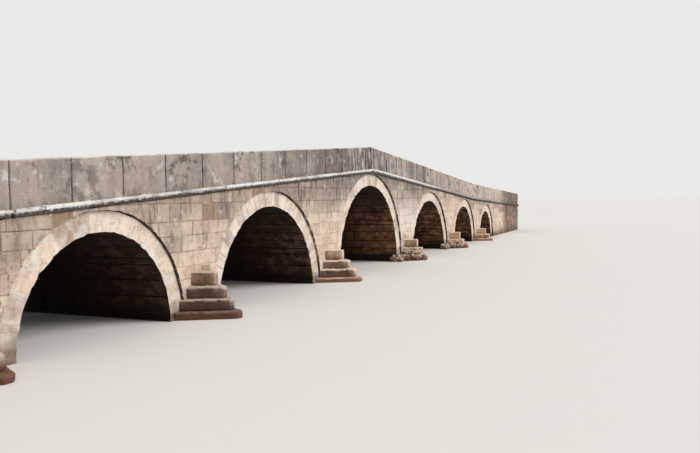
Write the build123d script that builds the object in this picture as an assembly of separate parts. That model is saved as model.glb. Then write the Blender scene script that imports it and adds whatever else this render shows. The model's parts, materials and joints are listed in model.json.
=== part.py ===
"""Seven-arch stone footbridge with stepped cutwaters, a projecting cornice and slab parapets.

Millimetres. X runs along the bridge, Y across it and Z up. The origin lies on the water line
under the crown of the middle arch, on the centre line of the roadway.
"""
import os

from build123d import *

# Plan of one half of the bridge: it is the same to both sides of the middle arch
middle_to_second_arch = 4845
second_to_third_arch = 4195
third_to_outer_arch = 3610
outer_arch_to_end = 7250
face_width = 4500

# Inner radius of each arch, and the walling between the back of its crown and the cornice
middle_arch_radius = 1845
second_arch_radius = 1665
third_arch_radius = 1305
outer_arch_radius = 1000
middle_crown_cover = 30
second_crown_cover = 94
third_crown_cover = 35
outer_crown_cover = 92
ring_depth = 280
ring_recess = 45

# Walls
wall_thickness = 550
end_wall_thickness = 600

# Heads of the piers above the water, from left to right, level with their cutwaters
first_pier_head = 470
second_pier_head = 660
third_pier_head = 640
fourth_pier_head = 560
fifth_pier_head = 520
sixth_pier_head = 470

# Line of the cornice top: crest over the middle arch, where the ramp eases, and the far end
crest_height = 2420
ease_distance = 10400
ease_height = 1666
end_height = 1267

# Cornice, a slab with two fascias
cornice_thickness = 110
cornice_overhang = 70
lower_fascia_height = 50
lower_fascia_overhang = 35
cornice_bed = 420

# Parapet and roadway
parapet_height = 525
parapet_thickness = 220
parapet_slab_length = 865
paving_thickness = 110
joint = 4

# Cutwaters, each a pile of blunt wedges that step in as they rise
tier_height = 190
top_tier_half_width = 200
top_tier_length = 350
tier_side_step = 115
tier_nose_step = 140
nose_half_width = 70

arch_steps = [middle_to_second_arch, second_to_third_arch, third_to_outer_arch]
arch_radii = [middle_arch_radius, second_arch_radius, third_arch_radius, outer_arch_radius]
crown_covers = [middle_crown_cover, second_crown_cover, third_crown_cover, outer_crown_cover]
pier_heads = [first_pier_head, second_pier_head, third_pier_head,
              fourth_pier_head, fifth_pier_head, sixth_pier_head]

half_length = sum(arch_steps) + outer_arch_to_end
face = face_width / 2
ring_face = face - ring_recess
core_face = face - wall_thickness
paving_face = face - cornice_bed
tall = 2 * (crest_height + parapet_height)


def mirrored(values):
    """A list given from the middle outwards, as it is met from left to right."""
    return values[:0:-1] + values


def between(share, low, high):
    return low + share * (high - low)


def deck_height(x):
    """Height of the cornice top at a place along the bridge."""
    distance = abs(x)
    if distance < ease_distance:
        return between(distance / ease_distance, crest_height, ease_height)
    past_ease = (distance - ease_distance) / (half_length - ease_distance)
    return between(past_ease, ease_height, end_height)


distances = [sum(arch_steps[:count]) for count in range(len(arch_radii))]
arch_crowns = [deck_height(distance) - cornice_thickness - cover - ring_depth
               for distance, cover in zip(distances, crown_covers)]
centres = [-distance for distance in distances[:0:-1]] + distances
radii = mirrored(arch_radii)
crowns = mirrored(arch_crowns)
last_arch = len(centres) - 1
slope_changes = [-half_length, -ease_distance, 0, ease_distance, half_length]
straight_runs = list(zip(slope_changes, slope_changes[1:]))


def across(outline, y_low, y_high):
    """Run an upright outline, drawn in X and Z, across the bridge."""
    placed = Plane.XZ.offset(-y_high) * outline
    return extrude(placed, amount=y_high - y_low, dir=(0, -1, 0))


def rectangle_between(x_low, x_high, z_low, z_high):
    middle = Pos((x_low + x_high) / 2, (z_low + z_high) / 2)
    return middle * Rectangle(x_high - x_low, z_high - z_low)


def under_arch(index, extra=0):
    """Area under an arch line down to the water, with straight legs below a high centre."""
    radius = radii[index] + extra
    x = centres[index]
    z = crowns[index] - radii[index]
    disc = Pos(x, z) * Circle(radius)
    legs = rectangle_between(x - radius, x + radius, z - tall, z)
    above_water = rectangle_between(x - tall, x + tall, 0, tall)
    return (disc + legs) & above_water


def deck_band(x_low, x_high, low, high):
    """Area along a straight run of the deck, between two heights over the cornice top."""
    outline = [(x_low, deck_height(x_low) + low), (x_high, deck_height(x_high) + low),
               (x_high, deck_height(x_high) + high), (x_low, deck_height(x_low) + high)]
    return make_face(Polyline(*outline, close=True))


def below_deck(x_low, x_high, z_low):
    """Area below the bed of the cornice, between two upright lines."""
    bed = [(x, deck_height(x) - cornice_thickness) for x in slope_changes]
    outline = bed + [(half_length, -tall), (-half_length, -tall)]
    whole = make_face(Polyline(*outline, close=True))
    return whole & rectangle_between(x_low, x_high, z_low, tall)


def masonry_between(x_low, x_high, z_low, first, last):
    """Masonry over the backs of the arches from first to last."""
    area = below_deck(x_low, x_high, z_low)
    for index in range(first, last + 1):
        area -= under_arch(index, ring_depth)
    return area


def make_vault(index):
    ring = under_arch(index, ring_depth) - under_arch(index)
    return across(ring, -ring_face, ring_face)


def make_pier(index):
    """Pier between one arch and the next, up to the top of its cutwaters."""
    area = rectangle_between(centres[index], centres[index + 1], 0, pier_heads[index])
    area -= under_arch(index, ring_depth)
    area -= under_arch(index + 1, ring_depth)
    return across(area, -face, face)


def wall_areas():
    """Outlines of the side walls, one for each end and one for each bay between two crowns."""
    areas = [masonry_between(-half_length, centres[0], 0, 0, 0)]
    for index, head in enumerate(pier_heads):
        areas.append(masonry_between(centres[index], centres[index + 1], head, index, index + 1))
    areas.append(masonry_between(centres[last_arch], half_length, 0, last_arch, last_arch))
    return areas


def make_core():
    """Rubble between the side walls, over the vaults and piers."""
    inner_end = half_length - end_wall_thickness
    area = masonry_between(-inner_end, inner_end, 0, 0, last_arch)
    for index, head in enumerate(pier_heads):
        area -= rectangle_between(centres[index], centres[index + 1], -tall, head)
    return across(area, -core_face, core_face)


def stones_along(run, count):
    """Ends of equal stones that fill a run, with half a joint at each end of each."""
    x_low, x_high = run
    pitch = (x_high - x_low) / count
    starts = [x_low + pitch * number for number in range(count)]
    return [(start + joint / 2, start + pitch - joint / 2) for start in starts]


def make_cornice():
    """The cornice on the front, its lower fascia set back from its upper one."""
    split = lower_fascia_height - cornice_thickness
    lengths = []
    for run in straight_runs:
        for x_low, x_high in stones_along(run, 1):
            lower = across(deck_band(x_low, x_high, -cornice_thickness, split),
                           -face - lower_fascia_overhang, -paving_face)
            upper = across(deck_band(x_low, x_high, split, 0),
                           -face - cornice_overhang, -paving_face)
            lengths.append(lower + upper)
    return Compound(children=lengths)


def make_parapet():
    """Upright slabs side by side on the front cornice."""
    slabs = []
    for run in straight_runs:
        slab_count = max(1, round((run[1] - run[0]) / parapet_slab_length))
        for x_low, x_high in stones_along(run, slab_count):
            area = deck_band(x_low, x_high, 0, parapet_height)
            slabs.append(across(area, -face, parapet_thickness - face))
    return Compound(children=slabs)


def make_roadway():
    """Paving between the cornices, in one bed for each slope."""
    paving_top = paving_thickness - cornice_thickness
    beds = []
    for run in straight_runs:
        for x_low, x_high in stones_along(run, 1):
            area = deck_band(x_low, x_high, -cornice_thickness, paving_top)
            beds.append(across(area, -paving_face, paving_face))
    return Compound(children=beds)


def make_cutwater(index, pier):
    """Stepped wedge against the front of a pier, fitted round the pier's face."""
    left_springing = centres[index] + radii[index]
    right_springing = centres[index + 1] - radii[index + 1]
    x = (left_springing + right_springing) / 2
    wedge = Part()
    top = pier_heads[index]
    half_width = top_tier_half_width
    nose = face + top_tier_length
    while top > 0:
        bottom = max(top - tier_height, 0)
        outline = [(x - half_width, -ring_face), (x - nose_half_width, -nose),
                   (x + nose_half_width, -nose), (x + half_width, -ring_face)]
        plan = Pos(0, 0, bottom) * make_face(Polyline(*outline, close=True))
        wedge += extrude(plan, amount=top - bottom, dir=(0, 0, 1))
        top = bottom
        half_width += tier_side_step
        nose += tier_nose_step
    return wedge - pier


def to_back(shape):
    return mirror(shape, about=Plane.XZ)


pieces = {}
for index in range(len(centres)):
    pieces[f"vault_{index + 1}"] = make_vault(index)
for index in range(last_arch):
    pier = make_pier(index)
    cutwater = make_cutwater(index, pier)
    pieces[f"pier_{index + 1}"] = pier
    pieces[f"cutwater_{index + 1}"] = Compound(children=[cutwater, to_back(cutwater)])
for number, area in enumerate(wall_areas(), start=1):
    pieces[f"front_wall_{number}"] = across(area, -face, -core_face)
    pieces[f"back_wall_{number}"] = across(area, core_face, face)
pieces["rubble_core"] = make_core()
end_area = below_deck(half_length - end_wall_thickness, half_length, 0)
pieces["right_abutment"] = across(end_area, -core_face, core_face)
pieces["left_abutment"] = mirror(pieces["right_abutment"], about=Plane.YZ)
pieces["front_cornice"] = make_cornice()
pieces["back_cornice"] = to_back(pieces["front_cornice"])
pieces["front_parapet"] = make_parapet()
pieces["back_parapet"] = to_back(pieces["front_parapet"])
pieces["roadway"] = make_roadway()

os.makedirs("parts", exist_ok=True)
for name, shape in pieces.items():
    export_step(shape, f"parts/{name}.step")
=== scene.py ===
"""Dresses the seven-arch bridge in separate weathered stones and sets it in a plain studio."""

import json
import math
import random
from bisect import bisect_right
from contextlib import contextmanager

import bmesh
import bpy
from bpy.props import FloatProperty, FloatVectorProperty, IntVectorProperty, PointerProperty
from mathutils import Euler, Matrix, Vector

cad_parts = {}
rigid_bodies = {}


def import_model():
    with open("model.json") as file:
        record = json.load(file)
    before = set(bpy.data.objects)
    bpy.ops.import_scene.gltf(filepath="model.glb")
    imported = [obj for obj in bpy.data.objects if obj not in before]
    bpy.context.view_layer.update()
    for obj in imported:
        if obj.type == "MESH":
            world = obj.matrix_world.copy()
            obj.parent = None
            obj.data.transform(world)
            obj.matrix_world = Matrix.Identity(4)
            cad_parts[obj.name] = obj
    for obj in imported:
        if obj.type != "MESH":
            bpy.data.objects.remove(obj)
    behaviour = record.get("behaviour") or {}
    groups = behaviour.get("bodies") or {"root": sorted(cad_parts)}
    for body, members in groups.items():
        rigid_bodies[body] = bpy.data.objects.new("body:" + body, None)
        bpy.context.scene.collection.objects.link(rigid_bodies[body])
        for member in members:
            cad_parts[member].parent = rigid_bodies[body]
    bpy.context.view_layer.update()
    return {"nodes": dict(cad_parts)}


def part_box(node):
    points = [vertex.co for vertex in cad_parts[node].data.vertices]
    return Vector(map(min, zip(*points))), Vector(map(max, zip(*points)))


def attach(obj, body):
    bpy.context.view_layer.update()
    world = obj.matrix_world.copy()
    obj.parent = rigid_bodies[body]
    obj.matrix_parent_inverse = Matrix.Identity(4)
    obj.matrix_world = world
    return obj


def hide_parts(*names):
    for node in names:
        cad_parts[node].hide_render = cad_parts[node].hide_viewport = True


bl_info = {
    "name": "Stone arch bridge",
    "version": (1, 0, 0),
    "blender": (4, 5, 0),
    "location": "View3D > Sidebar > Bridge",
    "description": "Builds the stones of a humped arch bridge, their weathering and a studio",
    "category": "Object",
}

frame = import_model()

SIDES = {"front": -1, "back": 1}
ARCHES = 7
PIERS = ARCHES - 1
BAYS = ARCHES + 1
TOP = Vector((0, 0, 1))
AXES = ((1, 0, 0), (0, 1, 0), (0, 0, 1))
WORN = "worn"

# How near counts as touching, as standing on the water line, and as part of a wall's skin
TOUCH = 0.004
FOOT = 0.018
SKIN = 0.03

# How nearly a face has to look along an axis, how far inward a folded one looks, and how
# often folds are closed
SQUARE = 0.9
FOLDED = -0.3
FOLD_ROUNDS = 3

# Edges flatter than the first angle are dissolved, those sharper than the second are worn
# round, and those up to the third shade smooth
FLAT, SHARP, SMOOTH = (math.radians(degrees) for degrees in (0.3, 30, 38))

# Grid of a cutwater's facets along and across it, how uneven it is, and its step upwards
TIER_GRID = 0.04
TIER_SPREAD = 0.15
TIER_LAYER = 0.045

# What is merged in the facets of a wall, and the ends of a slope that stay uncut
WALL_MERGE = 0.012
SLOPE_MARGIN = 0.03

HALF_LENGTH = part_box("right_abutment")[1].x
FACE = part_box("back_wall_4")[1].y
RING_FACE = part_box("vault_4")[1].y
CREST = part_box("roadway")[1].z


def middle_of(node):
    """Place along the bridge of the middle of a frame node."""
    low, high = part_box(node)
    return (low.x + high.x) / 2


def top_of(node, x):
    """Height of a frame node's highest corner at a place along the bridge."""
    corners = frame["nodes"][node].data.vertices
    return max(corner.co.z for corner in corners if abs(corner.co.x - x) < TOUCH)


def tint(name, description, colour):
    """A colour of the stone or of its stains."""
    return FloatVectorProperty(
        name=name, description=description, default=colour, subtype="COLOR", size=3, min=0, max=1)


def metres(name, description, default, least=0):
    """A length in metres."""
    return FloatProperty(
        name=name, description=description, default=default, min=least, unit="LENGTH")


def angle(name, description, degrees):
    """An angle, given in degrees."""
    return FloatProperty(
        name=name, description=description, default=math.radians(degrees), subtype="ANGLE")


class BridgeSizes(bpy.types.PropertyGroup):
    """Sizes of the stones and of the joints between them."""

    wall_course: metres("Wall course", "Usual height of a course of the walls", 0.225)
    course_growth: FloatProperty(
        name="Course growth", description="How fast the courses grow taller upwards",
        default=1.15, min=1)
    wall_stone: metres("Wall stone", "Usual length of a stone of the walls", 0.46)
    voussoir: metres("Voussoir", "Usual height of an arch stone along its arch", 0.195)
    vault_stone: metres("Vault stone", "Usual length of a stone under an arch", 0.5)
    ring_depth: metres("Ring depth", "Depth of the arch stones", 0.28)
    slab_round: metres("Slab round", "Radius worn onto the edges of a parapet", 0.022)
    cornice_round: metres("Cornice round", "Radius worn onto the edges of a cornice", 0.01)
    parapet_slab: metres("Parapet slab", "Usual length of a parapet slab", 0.865)
    cornice_stone: metres("Cornice stone", "Usual length of a cornice stone", 0.9)
    paving_stone: metres("Paving stone", "Usual size of a paving stone", 0.32)
    ease_distance: metres("Ease distance", "From the crest to where a ramp eases", 10.4)
    joint_width: metres("Joint width", "Width of a weathered joint at its mouth", 0.01)
    vault_joint: metres("Vault joint", "Width of a joint under an arch", 0.016)
    joint_depth: metres("Joint depth", "Depth of a weathered joint", 0.02)
    vault_joint_depth: metres("Vault joint depth", "Depth of a joint under an arch", 0.012)
    tier_joint: metres("Tier joint", "Width of a joint of a cutwater", 0.016)
    tier_joint_depth: metres("Tier joint depth", "Depth of a joint of a cutwater", 0.006)
    paving_joint: metres("Paving joint", "Width of a joint of the paving", 0.03)
    paving_joint_depth: metres("Paving joint depth", "Depth of a joint of the paving", 0.034)
    grain: metres("Grain", "Size of the facets that carry the relief", 0.085)
    top_tier: metres("Top tier", "Height of a cutwater's top tier", 0.19)
    lower_tier: metres("Lower tier", "Height of each tier under it", 0.17)
    tier_half_width: metres("Tier half width", "Half width of the top tier", 0.2)
    tier_length: metres("Tier length", "Reach of the top tier from the wall", 0.35)
    tier_side_step: metres("Side step", "How far each tier widens to a side", 0.115)
    tier_nose_step: metres("Nose step", "How far each tier reaches past the last", 0.13)
    nose_half_width: metres("Nose half width", "Half width of a blunt nose", 0.07)
    top_block: metres("Top block", "How far the top block stands over the pier", 0.03)
    tier_round: metres("Tier round", "Radius worn onto the edges of a tier", 0.022)
    tier_swell: metres("Tier swell", "Thickness of the lumps on a worn tier", 0.028)
    tier_stone: metres("Tier stone", "Usual length of a stone of a tier", 0.42)
    wear: metres("Wear", "How far the most worn stones stand back", 0.014)
    sunk: metres("Sunk", "How far a foot stands in the stone under it", 0.04)
    ragged: metres("Ragged", "How uneven the edges along an arch are", 0.011)
    lap: metres("Lap", "How far pieces run into each other at a seam", 0.009)
    relief: metres("Relief", "Depth of the hollows worn into the stones", 0.01)
    slab_lines: FloatVectorProperty(
        name="Slab lines", description="Heights of the lines between a slab's facets",
        default=(0.1, 0.2, 0.31, 0.42), size=4, min=0, unit="LENGTH")
    worn_piers: IntVectorProperty(
        name="Worn piers", description="Piers whose cutwaters have broken up",
        default=(4, 5), size=2, min=1)
    rubble_step: metres("Rubble step", "Usual distance between fallen stones", 0.022)
    rubble_stone: metres("Rubble stone", "Length of a large fallen stone", 0.19)


class BridgeColours(bpy.types.PropertyGroup):
    """Colours of the stone and of what has stained it."""

    cream: tint("Cream", "Clean dressed limestone", (0.8, 0.66, 0.55))
    warm: tint("Warm", "Pinkish limestone of the walls", (0.53, 0.39, 0.31))
    ash: tint("Ash", "Pale grey limestone of the parapets", (0.34, 0.3, 0.275))
    grey: tint("Grey", "Weathered limestone", (0.17, 0.146, 0.135))
    # Also painted shade on the wall's edges over the arches and under the cornice
    soot: tint("Soot", "Dark growth in the streaks", (0.04, 0.034, 0.032))
    lime: tint("Lime", "Pale crust on edges and tops", (0.78, 0.78, 0.79))
    ochre: tint("Ochre", "Yellow-brown stain", (0.3, 0.17, 0.085))
    # Laid as painted sunlight on the cutwaters to the right
    honey: tint("Honey", "Yellower limestone of the right cutwaters", (0.66, 0.42, 0.24))
    # Also painted shade on the cutwaters to the left and over the far end
    silt: tint("Silt", "Brown stain near the water", (0.085, 0.036, 0.019))
    # Mostly painted shade under the arches, and the dark stone at the water and in the joints
    # there
    damp: tint("Damp", "Dark stone under the arches", (0.01, 0.004, 0.002))
    lit: tint("Lit", "Browner stone under the arches", (0.15, 0.06, 0.028))
    russet: tint("Russet", "Red-brown stain at the water line", (0.26, 0.115, 0.065))
    mortar: tint("Mortar", "Recessed joints", (0.1, 0.07, 0.055))
    floor: tint("Floor", "Studio floor", (0.8, 0.79, 0.77))


class StudioSizes(bpy.types.PropertyGroup):
    """Camera and light."""

    lens: FloatProperty(
        name="Lens", description="Focal length on a 36 mm sensor", default=36.06, unit="CAMERA")
    eye_x: metres("Eye along", "Camera's place along the bridge", -15.786, -100)
    eye_distance: metres("Eye distance", "From the camera to the front face", 6.227)
    eye_height: metres("Eye height", "Height of the camera over the water", 1.731)
    heading: angle("Heading", "Turn of the view from the bridge's line", 23.387)
    pitch: angle("Pitch", "Tilt of the view over level", -2.378)
    roll: angle("Roll", "Turn of the view about its own axis", -0.816)
    sky: FloatProperty(name="Sky", description="Strength of the even light", default=0.6)
    key: FloatProperty(name="Key", description="Strength of the light from the front", default=1.9)
    key_width: angle("Key width", "Breadth of that light in the sky", 35)
    key_from: FloatVectorProperty(
        name="Key from", description="Where that light comes from", default=(6, -20, 17),
        subtype="DIRECTION")


# Selecting and shaping

def select_only(*pieces):
    """Select these pieces alone, with the first of them active."""
    bpy.ops.object.select_all(action="DESELECT")
    for piece in pieces:
        piece.select_set(True)
    bpy.context.view_layer.objects.active = pieces[0]


@contextmanager
def editing(piece, mode="FACE"):
    """Edit one piece, with nothing selected at the start."""
    select_only(piece)
    bpy.ops.object.mode_set(mode="EDIT")
    bpy.ops.mesh.select_mode(type=mode)
    bpy.ops.mesh.select_all(action="DESELECT")
    yield
    bpy.ops.object.mode_set(mode="OBJECT")


@contextmanager
def mesh_of(piece):
    """In edit mode, the mesh of a piece, to read and change."""
    mesh = bmesh.from_edit_mesh(piece.data)
    yield mesh
    bmesh.update_edit_mesh(piece.data)


def select_whole():
    bpy.ops.mesh.select_all(action="SELECT")


def select_faces(piece, wanted):
    """In edit mode, select the faces that pass a test of their place and normal."""
    with mesh_of(piece) as mesh:
        for face in mesh.faces:
            face.select_set(wanted(face.calc_center_median(), face.normal))


def select_corners(piece, wanted):
    """In edit mode, select the corners that pass a test, and say if any did."""
    bpy.ops.mesh.select_all(action="DESELECT")
    with mesh_of(piece) as mesh:
        for corner in mesh.verts:
            corner.select_set(wanted(corner))
        return any(corner.select for corner in mesh.verts)


def block(place, scale):
    """A block with its sides square to the axes."""
    bpy.ops.object.select_all(action="DESELECT")
    bpy.ops.mesh.primitive_cube_add(size=1, location=place)
    piece = bpy.context.object
    piece.scale = scale
    bpy.ops.object.transform_apply()
    return piece


def solid_of(node, name):
    """A copy of a frame solid, with its triangles merged back into whole faces."""
    mesh = frame["nodes"][node].data.copy()
    mesh.name = name
    mesh.materials.clear()
    piece = bpy.data.objects.new(name, mesh)
    bpy.context.scene.collection.objects.link(piece)
    with editing(piece):
        select_whole()
        bpy.ops.mesh.remove_doubles(threshold=1e-5)
        bpy.ops.mesh.customdata_custom_splitnormals_clear()
        bpy.ops.mesh.dissolve_limited(angle_limit=FLAT)
    return piece


def cut_faces(piece, wanted, planes, merge=0):
    """Cut the wanted faces along planes, and merge what the cuts leave too close together."""
    with editing(piece):
        select_faces(piece, wanted)
        bpy.ops.mesh.hide(unselected=True)
        for point, normal in planes:
            select_whole()
            bpy.ops.mesh.bisect(plane_co=point, plane_no=normal)
        if merge:
            select_whole()
            bpy.ops.mesh.remove_doubles(threshold=merge)
        bpy.ops.mesh.reveal(select=False)


def cut_at_water():
    """In edit mode, cut away what lies under the water line and cap the cut."""
    select_whole()
    bpy.ops.mesh.bisect(plane_co=(0, 0, 0), plane_no=TOP, clear_inner=True, use_fill=True)


def lines_across(axis, values):
    """Planes square to an axis, one for each value."""
    normal = Vector((axis == "X", axis == "Y", axis == "Z"))
    return [(normal * value, normal) for value in values]


def uneven_lines(low, high, step, spread, seed):
    """Places from low to high, about a step apart, each a little off the even spacing."""
    chance = random.Random(seed)
    count = max(1, round((high - low) / step))
    even = [low + (high - low) * number / count for number in range(count + 1)]
    inner = [place + step * chance.uniform(-spread, spread) for place in even[1:-1]]
    return [even[0], *inner, even[-1]]


def stones_in(lines, length, spread, seed, avoid=()):
    """Pick, from grid lines, the ends of stones about a length long, off the lines to avoid."""
    chance = random.Random(seed)
    step = (lines[-1] - lines[0]) / (len(lines) - 1)
    usual = max(2, round(length / step))
    reach = max(1, round(usual * spread))
    ends = [0]
    while len(lines) - 1 - ends[-1] > usual + reach:
        end = ends[-1] + chance.randint(usual - reach, usual + reach)
        if lines[end] in avoid:
            end += 1
        ends.append(end)
    ends.append(len(lines) - 1)
    return [lines[end] for end in ends]


def joints_beside(lines, rows, length, spread, seed):
    """Ends of the stones of rows side by side, with the joints of each off those of the last."""
    joints = [()]
    for row in range(rows):
        joints.append(stones_in(lines, length, spread, seed + row, joints[-1]))
    return joints[1:]


def put_in_order(piece):
    """Sort corners by place, then edges and faces, which a spin leaves in no fixed order."""
    def by_corners(part):
        numbers = [corner.index for corner in part.verts]
        return min(numbers) * 1e6 + max(numbers)

    with editing(piece), mesh_of(piece) as mesh:
        mesh.verts.sort(key=lambda corner: corner.co.x + corner.co.y * 1e4 + corner.co.z * 1e8)
        mesh.verts.index_update()
        mesh.edges.sort(key=by_corners)
        mesh.faces.sort(key=by_corners)


def select_inner_corners():
    """In edit mode, narrow the selection to the corners inside it."""
    bpy.ops.mesh.select_mode(type="VERT")
    bpy.ops.mesh.select_less()


def carve_joints(piece, stone_at, width, depth, seed, wander=0.004, deeper=None, numbers=None):
    """Number each stone's faces and sink a joint between every two stones."""
    numbers = {None: 0} if numbers is None else numbers
    with editing(piece):
        select_faces(piece, lambda place, normal: stone_at(place, normal) is not None)
        select_inner_corners()
        bpy.ops.transform.vertex_random(offset=wander, seed=seed)
        bpy.ops.mesh.select_mode(type="EDGE")
        with mesh_of(piece) as mesh:
            number = mesh.faces.layers.int.new("stone")
            for face in mesh.faces:
                stone = stone_at(face.calc_center_median(), face.normal)
                face[number] = numbers.setdefault(stone, len(numbers))
            for edge in mesh.edges:
                met = {face[number] for face in edge.link_faces}
                edge.select_set(len(met) > 1 and 0 not in met)
        bpy.ops.mesh.bevel(offset=width / 2, segments=2, affect="EDGES", clamp_overlap=False)
        with mesh_of(piece) as mesh:
            number = mesh.faces.layers.int["stone"]
            for face in mesh.faces:
                if face.select:
                    face[number] = 0
        select_inner_corners()
        with mesh_of(piece) as mesh:
            joint = mesh.verts.layers.float.new("joint")
            for corner in mesh.verts:
                corner[joint] = float(corner.select)
        bpy.ops.transform.shrink_fatten(value=-depth)
        if deeper:
            with mesh_of(piece) as mesh:
                joint = mesh.verts.layers.float["joint"]
                for corner in mesh.verts:
                    corner.select_set(corner[joint] > 0 and deeper(corner))
            bpy.ops.transform.shrink_fatten(value=-depth)


def tone_stones(piece, seed, shift):
    """Give each numbered stone a tone of its own, and shift its skin out by its share."""
    mesh = piece.data
    chance = random.Random(seed)
    stones = [face.value for face in mesh.attributes["stone"].data]
    tones = []
    wear = []
    for _ in range(max(stones) + 1):
        tones.append(chance.random())
        usual, most = chance.uniform(0.45, 0.7), chance.uniform(0.7, 1)
        wear.append(usual if chance.random() < 0.85 else most)
    mesh.attributes.remove(mesh.attributes["stone"])
    tone = mesh.attributes.new("tone", "FLOAT", "FACE")
    tone.data.foreach_set("value", [tones[stone] for stone in stones])
    moved = {}
    for face, stone in zip(mesh.polygons, stones):
        if stone:
            moved.setdefault(stone, set()).update(face.vertices)
    group = piece.vertex_groups.new(name=WORN)
    for stone, corners in moved.items():
        group.add(list(corners), wear[stone], "REPLACE")
    apply_modifier(piece, "DISPLACE", strength=shift, mid_level=0, vertex_group=WORN)


def apply_modifier(piece, kind, **settings):
    """Add a modifier with these settings and apply it."""
    select_only(piece)
    modifier = piece.modifiers.new(kind.title(), kind)
    for name, value in settings.items():
        setattr(modifier, name, value)
    bpy.ops.object.modifier_apply(modifier=modifier.name)


def wear_round(piece, radius, segments):
    """Round the sharp edges of a piece."""
    apply_modifier(
        piece, "BEVEL", width=radius, segments=segments, limit_method="ANGLE", angle_limit=SHARP)


def roughen(piece, size, depth, level=1):
    """Wear soft hollows of some size into the stones; a level of 0 raises lumps instead."""
    clouds = bpy.data.textures.new("Hollows", "CLOUDS")
    clouds.noise_scale = size
    clouds.noise_depth = 2
    apply_modifier(
        piece, "DISPLACE", texture=clouds, strength=depth, mid_level=level,
        texture_coords="LOCAL", vertex_group=WORN)


def settle(piece):
    """Bring a foot that the wear has lifted back down to the water line."""
    with editing(piece, "VERT"):
        if select_corners(piece, lambda corner: corner.co.z < FOOT):
            bpy.ops.transform.resize(value=(1, 1, 0), center_override=(0, 0, 0))


def put_on(material, mesh):
    """Give a mesh this material alone."""
    mesh.materials.clear()
    mesh.materials.append(material)


def finished(piece, material, slot, *nodes):
    """Give a piece its finish and hand it to the body and nodes that it stands for."""
    put_on(material, piece.data)
    for face in piece.data.polygons:
        face.material_index = 0
    select_only(piece)
    bpy.ops.object.shade_smooth_by_angle(angle=SMOOTH)
    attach(piece, "root")
    if nodes:
        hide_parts(*nodes)


# Finishes

def maths(operation):
    """A method that adds a Math node, with its value and the others as inputs."""
    def method(self, *others):
        return self.nodes.node("ShaderNodeMath", {"operation": operation}, [self, *others])

    return method


class Value:
    """A socket in a node tree, for arithmetic; a | b is the greater of two masks."""

    def __init__(self, nodes, socket):
        self.nodes = nodes
        self.socket = socket

    __add__ = maths("ADD")
    __sub__ = maths("SUBTRACT")
    __mul__ = maths("MULTIPLY")
    __or__ = maths("MAXIMUM")
    __gt__ = maths("GREATER_THAN")
    __abs__ = maths("ABSOLUTE")

    def __rsub__(self, other):
        return self.nodes.node("ShaderNodeMath", {"operation": "SUBTRACT"}, [other, self])

    def rise(self, low, high):
        """0 at low and 1 at high, with a soft start and end."""
        return self.nodes.node(
            "ShaderNodeMapRange", {"interpolation_type": "SMOOTHSTEP"}, [self, low, high])


class Nodes:
    """A node tree that nodes are added to."""

    def __init__(self, tree):
        self.tree = tree

    def node(self, kind, settings=None, inputs=(), output=0):
        """Add a node: its settings, then the links, numbers or colour names of its sockets."""
        made = self.tree.nodes.new(kind)
        for name, value in (settings or {}).items():
            setattr(made, name, value)
        named = inputs.items() if isinstance(inputs, dict) else enumerate(inputs)
        for key, value in named:
            if isinstance(value, Value):
                self.tree.links.new(value.socket, made.inputs[key])
            else:
                colour = isinstance(value, str)
                made.inputs[key].default_value = colour_of(value) if colour else value
        return Value(self, made.outputs[output])


class Finish(Nodes):
    """A material, the nodes that colour it and its colour so far."""

    def __init__(self, name):
        self.material = bpy.data.materials.new(name)
        self.material.use_nodes = True
        super().__init__(self.material.node_tree)
        self.place = self.node("ShaderNodeTexCoord", output="Object")
        self.x, self.y, self.z = (self.part(self.place, axis) for axis in "XYZ")
        self.tone, self.joint = (
            self.node("ShaderNodeAttribute", {"attribute_name": layer}, output="Fac")
            for layer in ("tone", "joint"))
        self.second_tone = self.node(
            "ShaderNodeTexWhiteNoise", {"noise_dimensions": "1D"}, {"W": self.tone * 97})

    def part(self, vector, axis):
        return self.node("ShaderNodeSeparateXYZ", inputs=[vector], output=axis)

    def facing(self, axis):
        """How far the skin faces along an axis, from -1 to 1."""
        return self.part(self.node("ShaderNodeNewGeometry", output="Normal"), axis)

    def noise(self, scale, detail=4, stretch=(1, 1, 1), shift=0, roughness=0.55):
        place = self.node("ShaderNodeMapping", inputs={
            "Vector": self.place, "Scale": stretch, "Location": (shift, shift, shift)})
        return self.node("ShaderNodeTexNoise", inputs={
            "Vector": place, "Scale": scale, "Detail": detail, "Roughness": roughness})

    def cells(self, scale):
        return self.node("ShaderNodeTexVoronoi", inputs={"Vector": self.place, "Scale": scale})

    def mix(self, share, first, second, blend="MIX"):
        settings = {"data_type": "RGBA", "blend_type": blend}
        return self.node("ShaderNodeMix", settings, {0: share, 6: first, 7: second}, output=2)

    def lay(self, colour, share, blend="MIX"):
        """Lay a colour over the colour so far."""
        self.colour = self.mix(share, self.colour, colour, blend)

    def done(self, height, depth, roughness=None):
        """Join colour, roughness and relief to the shader and give back the material."""
        roughness = roughness or self.noise(12).rise(-0.6, 1.2) * 0.3 + 0.62
        relief = self.node("ShaderNodeBump", inputs={
            "Strength": 1, "Distance": depth, "Height": height})
        inputs = self.tree.nodes["Principled BSDF"].inputs
        sources = {"Base Color": self.colour, "Roughness": roughness, "Normal": relief}
        for name, value in sources.items():
            self.tree.links.new(value.socket, inputs[name])
        inputs["Specular IOR Level"].default_value = 0.25
        return self.material


def colour_of(name):
    return (*getattr(bpy.context.scene.bridge_colours, name), 1)


def depth_below_deck(finish):
    """Distance of a point under the line of the cornice top."""
    ease = sizes().ease_distance
    crest, eased, end = (top_of("front_cornice", x) for x in (TOUCH, ease, HALF_LENGTH))
    steep = (crest - eased) / ease
    gentle = (eased - end) / (HALF_LENGTH - ease)
    distance = abs(finish.x)
    near = crest - distance * steep
    far = (eased + gentle * ease) - distance * gentle
    return (near | far) - finish.z


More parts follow.
